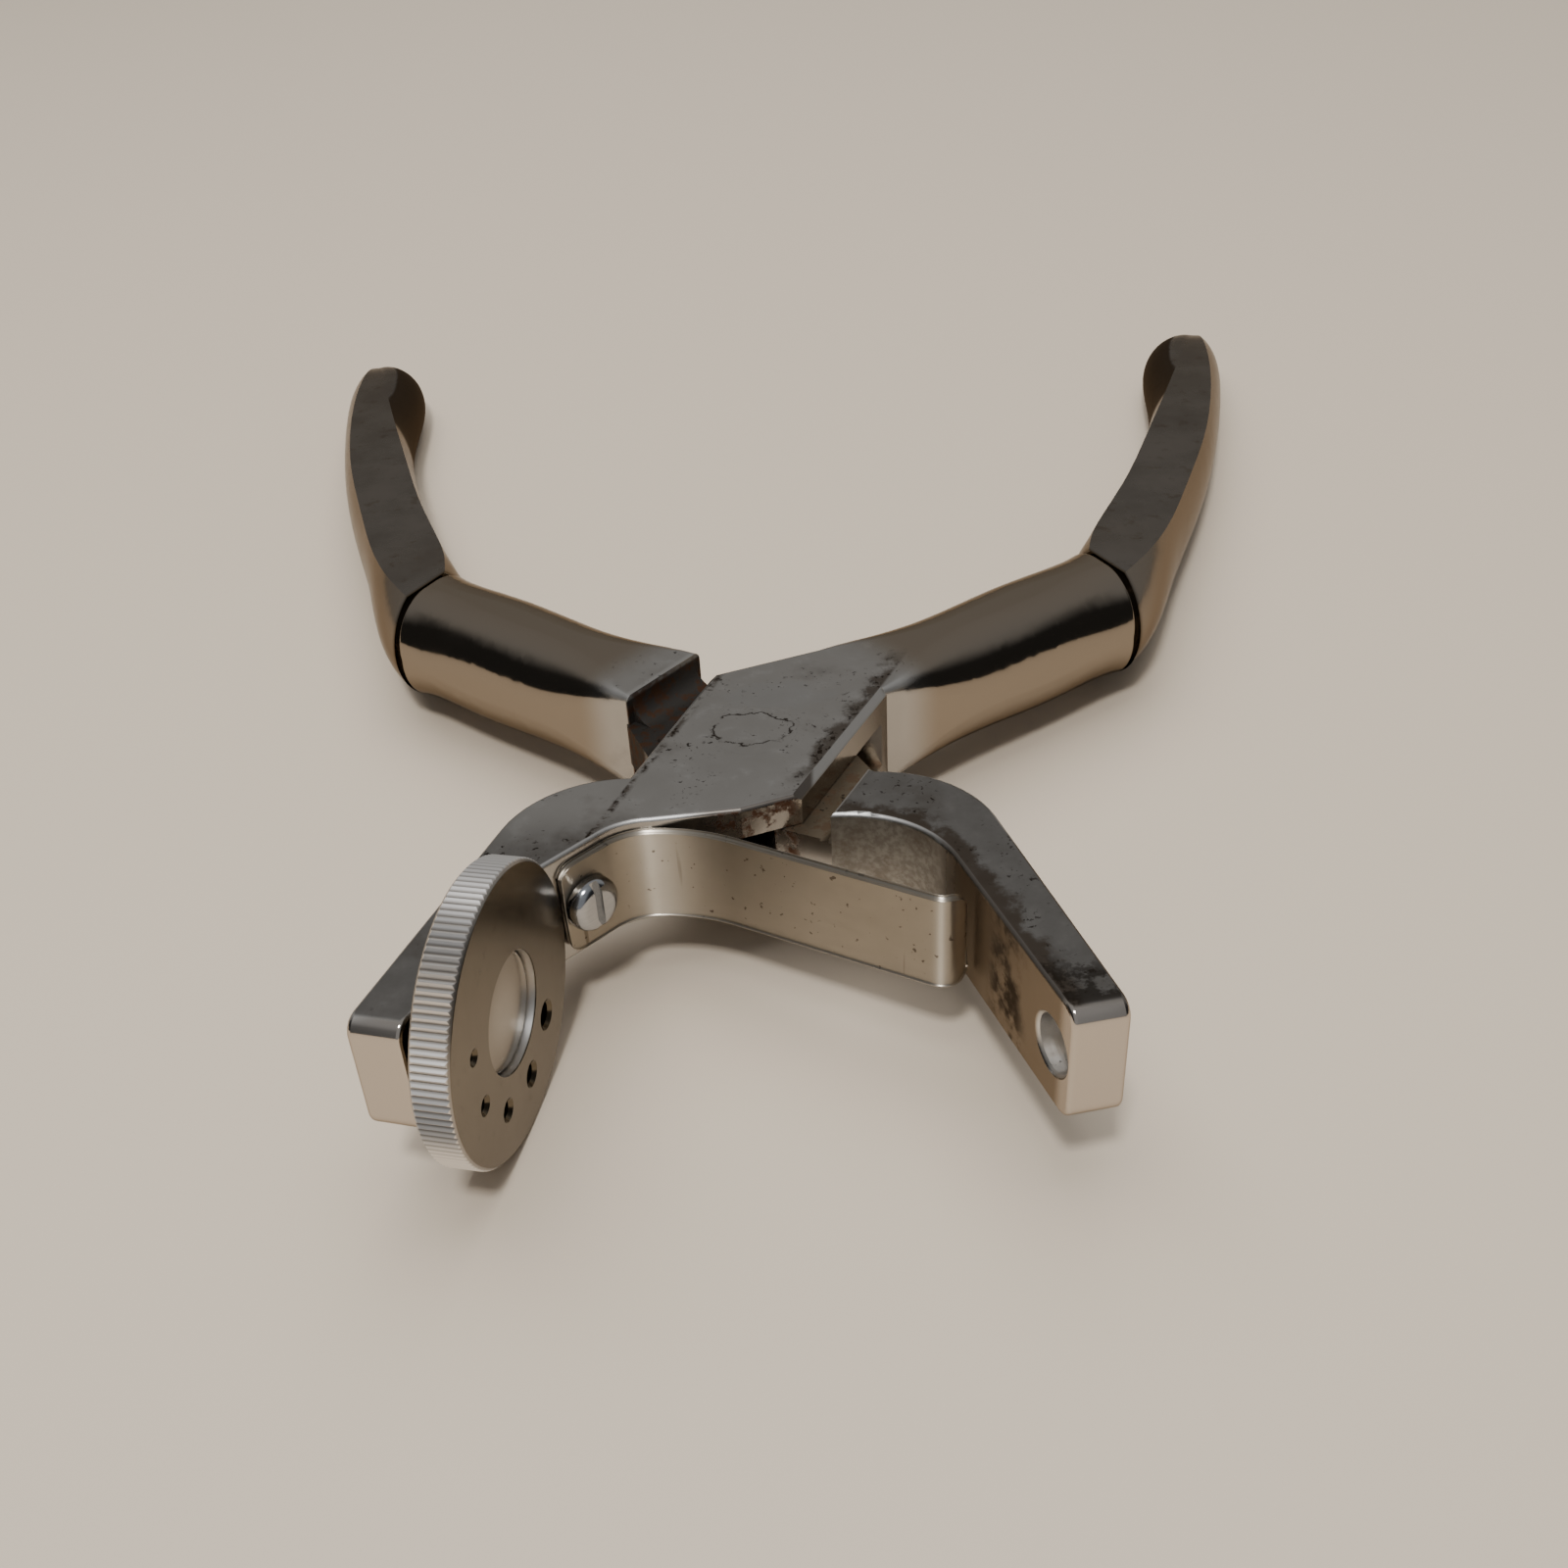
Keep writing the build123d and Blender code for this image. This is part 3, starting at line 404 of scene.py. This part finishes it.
# The ball behind the disc and the leaf's screw are turned from bare steel.
# They are polished and carry only hairline scratches.
SCREW_GREY = (0.36, 0.37, 0.385, 1)
SCREW_PALE = (0.5, 0.51, 0.525, 1)
bright, tree, shader = new_metal("bright_steel")
where = add_node(tree, "ShaderNodeTexCoord").outputs["Object"]
hair = grain(tree, where, 500.0, 3.0, 0.6, (1.0, 1.0, 9.0))
tree.links.new(tint(tree, hair, SCREW_GREY, SCREW_PALE), shader.inputs["Base Color"])
tree.links.new(between(tree, hair, 0.06, 0.22), shader.inputs["Roughness"])
for name in ("detent_ball", "spring_screw"):
    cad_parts[name].material_slots[0].material = bright

# The stud that carries the disc is turned steel, screwed into the disc jaw from the front.
# Its sunk head has gone as brown as the disc round it, and its middle is painted paler as a painted
# reflection.
STUD_BROWN = (0.2, 0.165, 0.125, 1)
STUD_TAN = (0.33, 0.295, 0.25, 1)
STUD_PAINTED_REFLECTION = (0.45, 0.42, 0.38, 1)
browned, tree, shader = new_metal("browned_stud")
where = add_node(tree, "ShaderNodeTexCoord").outputs["Object"]
film = grain(tree, where, 330.0, 5.0, 0.6)
from_axis = from_point(tree, where, DISC_CENTRE, (0.2, 1.0, 1.0))
colour = tint(tree, film, STUD_BROWN, STUD_TAN)
# Paler towards the middle of the head: a painted reflection.
colour = tint(tree, times(tree, band(tree, from_axis, 0.0042, 0.001), 0.5), colour, STUD_PAINTED_REFLECTION)
tree.links.new(colour, shader.inputs["Base Color"])
tree.links.new(between(tree, film, 0.14, 0.3), shader.inputs["Roughness"])
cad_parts["disc_stud"].material_slots[0].material = browned

# The leaf spring is a rolled strip, bent to shape and worn to a pale straw colour, deepened as a painted warm
# reflection.
# Its tab is screwed to the disc jaw and its rolled nose slides on the punch jaw.
LEAF_WIDTH = 0.0096
LEAF_THICKNESS = 0.0008
LEAF_CORNER = 0.0016
LEAF_EDGE = 0.00018
TAB_END = Vector((-0.016242, -0.020384))
TAB_HEADING = 47.0
TAB_LENGTH = 0.0052
SEAT_RADIUS = 0.0056
SEAT_TURN = 47.0
CREST_RADIUS = 0.016
CREST_TURN = 27.0
RUN_LENGTH = 0.0193
NOSE_RADIUS = 0.002
NOSE_TURN = 90.0
LEAF_BENDS = (
    (TAB_LENGTH, 0.0),
    (SEAT_RADIUS * radians(SEAT_TURN), -SEAT_TURN),
    (CREST_RADIUS * radians(CREST_TURN), -CREST_TURN),
    (RUN_LENGTH, 0.0),
    (NOSE_RADIUS * radians(NOSE_TURN), NOSE_TURN),
)
CORNER_SHARES = (0.02, 0.08, 0.18, 0.32, 0.5, 0.72)
LEAF_STEPS = 90
STRAW_AND_PAINTED_REFLECTION = (0.4, 0.345, 0.27, 1)
PALE_STRAW_AND_PAINTED_REFLECTION = (0.54, 0.48, 0.395, 1)
STREAK_BROWN = (0.1, 0.07, 0.045, 1)
FLECK_BROWN = (0.06, 0.04, 0.03, 1)
EDGE_GREY = (0.5, 0.46, 0.4, 1)
leaf_length = sum(length for length, turn in LEAF_BENDS)


def leaf_at(distance):
    point = TAB_END.copy()
    heading = radians(TAB_HEADING)
    for length, turn in LEAF_BENDS:
        step = min(distance, length)
        turned = radians(turn) * step / length
        chord = step if turn == 0.0 else 2.0 * length / abs(radians(turn)) * sin(abs(turned) / 2.0)
        point += chord * Vector((cos(heading + turned / 2.0), sin(heading + turned / 2.0)))
        heading += turned
        distance -= step
        if distance <= 0.0:
            break
    return point, heading


def leaf_ring(distance):
    point, heading = leaf_at(distance)
    inset = max(0.0, LEAF_CORNER - min(distance, leaf_length - distance))
    half = LEAF_WIDTH / 2 - LEAF_CORNER + sqrt(LEAF_CORNER**2 - inset**2) - LEAF_EDGE
    thick = LEAF_THICKNESS / 2 - LEAF_EDGE
    ring = []
    for quarter, (up, over) in enumerate(((1, 1), (1, -1), (-1, -1), (-1, 1))):
        for step in range(5):
            angle = pi / 2 * (step / 4 + quarter)
            high = up * half + LEAF_EDGE * cos(angle)
            aside = over * thick + LEAF_EDGE * sin(angle)
            x = point.x - aside * sin(heading)
            y = point.y + aside * cos(heading)
            ring.append((x, y, MIDDLE_HEIGHT + high))
    return ring


leaf_mesh = bmesh.new()
steps = [LEAF_CORNER * share for share in CORNER_SHARES]
steps += [LEAF_CORNER + (leaf_length - 2 * LEAF_CORNER) * k / LEAF_STEPS for k in range(LEAF_STEPS + 1)]
steps += [leaf_length - LEAF_CORNER * share for share in reversed(CORNER_SHARES)]
rings = [[leaf_mesh.verts.new(corner) for corner in leaf_ring(step)] for step in steps]
for near, far in zip(rings, rings[1:]):
    for k in range(len(near)):
        leaf_mesh.faces.new((near[k], near[k - 1], far[k - 1], far[k]))
leaf_mesh.faces.new(rings[0])
leaf_mesh.faces.new(reversed(rings[-1]))
bmesh.ops.recalc_face_normals(leaf_mesh, faces=leaf_mesh.faces)
for face in leaf_mesh.faces:
    face.smooth = True
strip = bpy.data.meshes.new("leaf_strip")
leaf_mesh.to_mesh(strip)
leaf_mesh.free()
leaf = bpy.data.objects.new("leaf_strip", strip)
bpy.context.collection.objects.link(leaf)
leaf.modifiers.new("flat_sides", "WEIGHTED_NORMAL").weight = 90

straw, tree, shader = new_metal("straw_spring_steel")
where = add_node(tree, "ShaderNodeTexCoord").outputs["Object"]
level = add_node(tree, "ShaderNodeSeparateXYZ", {0: where}).outputs[2]
cloud = grain(tree, where, 140.0, 4.0, 0.6)
drawn = grain(tree, where, 260.0, 3.0, 0.55, (1.0, 1.0, 14.0))
edge = band(tree, math(tree, "ABSOLUTE", math(tree, "SUBTRACT", level, MIDDLE_HEIGHT)), 0.0044, 0.0047)
# The straw tint is partly the steel's own and partly a painted reflection.
colour = tint(tree, cloud, STRAW_AND_PAINTED_REFLECTION, PALE_STRAW_AND_PAINTED_REFLECTION)
upright_lines = grain(tree, where, 700.0, 2.0, 0.5, (1.0, 1.0, 0.06))
streak = times(tree, band(tree, upright_lines, 0.66, 0.72), rest(tree, edge))
fleck = band(tree, grain(tree, where, 1300.0, 2.0, 0.5), 0.67, 0.72)
colour = tint(tree, times(tree, streak, 0.6), colour, STREAK_BROWN)
colour = tint(tree, times(tree, fleck, 0.7), colour, FLECK_BROWN)
colour = tint(tree, times(tree, edge, 0.6), colour, EDGE_GREY)
tree.links.new(colour, shader.inputs["Base Color"])
tree.links.new(between(tree, edge, between(tree, drawn, 0.36, 0.46), 0.36), shader.inputs["Roughness"])
shader.inputs["Anisotropic"].default_value = 0.95
upward = add_node(tree, "ShaderNodeCombineXYZ", {2: 1.0}).outputs[0]
tree.links.new(upward, shader.inputs["Tangent"])
relief = times(tree, drawn, rest(tree, edge))
bump = add_node(tree, "ShaderNodeBump", {"Height": relief, "Strength": 0.12, "Distance": 0.00005})
tree.links.new(bump.outputs[0], shader.inputs["Normal"])
strip.materials.append(straw)
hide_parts("leaf_spring")
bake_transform(leaf)

# The detent spring is a short coil of drawn wire in its hole behind the disc.
# Its end turns are closed, and it presses the ball out towards the disc.
BALL_CENTRE = Vector((-0.021745, -0.026469, MIDDLE_HEIGHT))
BALL_TO_COIL = 0.00123
COIL_TOP = BALL_CENTRE - DISC_AXIS * BALL_TO_COIL
COIL_LENGTH = 0.0016
COIL_RADIUS = 0.0009
WIRE_RADIUS = 0.00018
COIL_TURNS = 4
CLOSED_SHARE = 0.14
STEPS_PER_TURN = 24
WIRE_SIDES = 8
UP = Vector((0.0, 0.0, 1.0))
coil_side = DISC_AXIS.cross(UP)
wire_mesh = bmesh.new()
turns = []
for step in range(COIL_TURNS * STEPS_PER_TURN + 1):
    share = step / (COIL_TURNS * STEPS_PER_TURN)
    angle = 2 * pi * COIL_TURNS * share
    opened = min(max((share - CLOSED_SHARE) / (1.0 - 2 * CLOSED_SHARE), 0.0), 1.0)
    closed = min(share / CLOSED_SHARE, 1.0) + max((share - 1.0 + CLOSED_SHARE) / CLOSED_SHARE, 0.0)
    rise = opened * (COIL_LENGTH - 4 * WIRE_RADIUS) + WIRE_RADIUS * (1.0 + closed)
    spoke = coil_side * cos(angle) + UP * sin(angle)
    middle = COIL_TOP - DISC_AXIS * rise + spoke * COIL_RADIUS
    ring = []
    for k in range(WIRE_SIDES):
        round_wire = 2 * pi * k / WIRE_SIDES
        outward = spoke * cos(round_wire) + DISC_AXIS * sin(round_wire)
        ring.append(wire_mesh.verts.new(middle + outward * WIRE_RADIUS))
    turns.append(ring)
for near, far in zip(turns, turns[1:]):
    for k in range(WIRE_SIDES):
        wire_mesh.faces.new((near[k], near[k - 1], far[k - 1], far[k]))
wire_mesh.faces.new(turns[0])
wire_mesh.faces.new(reversed(turns[-1]))
bmesh.ops.recalc_face_normals(wire_mesh, faces=wire_mesh.faces)
for face in wire_mesh.faces:
    face.smooth = True
wire = bpy.data.meshes.new("detent_coil")
wire_mesh.to_mesh(wire)
wire_mesh.free()
coil = bpy.data.objects.new("detent_coil", wire)
bpy.context.collection.objects.link(coil)
wire.materials.append(bright)
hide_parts("detent_spring")
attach(coil, "disc_arm")
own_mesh(coil)

# Studio: a pale warm floor under the disc's rim and the handles, a pale wall light behind and in front,
# darker sides, a softbox overhead and a small lamp in front.
FLOOR_TILT = 3.53
FLOOR_SIZE = 6.0
FLOOR_PLACE = (0.0, -0.0332, -0.0070)
FLOOR_COLOUR = (0.6, 0.505, 0.395, 1)
FRONT_LIGHT = (0.72, 0.74, 0.77, 1)
BACK_LIGHT = (0.84, 0.83, 0.81, 1)
SIDE_DARK = (0.02, 0.02, 0.02, 1)
CAMERA_PLACE = (0.0094, -0.1279, 0.0914)
CAMERA_TURN = 3.0
CAMERA_DOWN = 34.0
CAMERA_ROLL = -3.3
bpy.ops.mesh.primitive_plane_add(size=FLOOR_SIZE, location=FLOOR_PLACE)
floor = bpy.context.object
floor.name = "floor"
floor.rotation_euler = (radians(FLOOR_TILT), 0.0, 0.0)
pale = bpy.data.materials.new("pale_floor")
pale.use_nodes = True
shader = pale.node_tree.nodes["Principled BSDF"]
shader.inputs["Base Color"].default_value = FLOOR_COLOUR
shader.inputs["Roughness"].default_value = 0.55
floor.data.materials.append(pale)

world = bpy.data.worlds.new("studio")
world.use_nodes = True
bpy.context.scene.world = world
room = world.node_tree
ground = room.nodes["Background"]
ground.inputs["Strength"].default_value = 0.44
sky = add_node(room, "ShaderNodeTexCoord").outputs["Generated"]
aside, behind, up = add_node(room, "ShaderNodeSeparateXYZ", {0: sky}).outputs
light = tint(room, band(room, behind, -0.45, 0.75), FRONT_LIGHT, BACK_LIGHT)
dark_side = times(room, band(room, math(room, "ABSOLUTE", aside), 0.4, 0.75), band(room, up, 0.85, 0.5))
dark_side = times(room, dark_side, band(room, behind, 0.4, 0.1))
light = tint(room, times(room, dark_side, 0.93), light, SIDE_DARK)
room.links.new(light, ground.inputs["Color"])
for name, size, power, mirrored, at, target in (
    ("top_softbox", 1.1, 10.0, False, (-0.1, 0.25, 0.95), (0.0, 0.0, 0.0)),
    ("spot_softbox", 0.09, 3.0, True, (-0.05, -0.34, 0.6), (0.0, -0.02, 0.0)),
):
    lamp = bpy.data.lights.new(name, "AREA")
    lamp.shape = "SQUARE"
    lamp.size = size
    lamp.energy = power
    softbox = bpy.data.objects.new(name, lamp)
    bpy.context.collection.objects.link(softbox)
    softbox.location = at
    softbox.rotation_euler = (Vector(target) - Vector(at)).to_track_quat("-Z", "Y").to_euler()
    softbox.visible_glossy = mirrored

lens = bpy.data.cameras.new("photo_view")
lens.sensor_fit = "HORIZONTAL"
lens.sensor_width = 36.0
lens.lens = 36.0
lens.clip_start = 0.01
camera = bpy.data.objects.new("photo_view", lens)
bpy.context.collection.objects.link(camera)
camera.matrix_world = (
    Matrix.Translation(CAMERA_PLACE)
    @ Matrix.Rotation(radians(CAMERA_TURN), 4, "Z")
    @ Matrix.Rotation(radians(90.0 - CAMERA_DOWN), 4, "X")
    @ Matrix.Rotation(radians(CAMERA_ROLL), 4, "Z")
)
bpy.context.scene.camera = camera
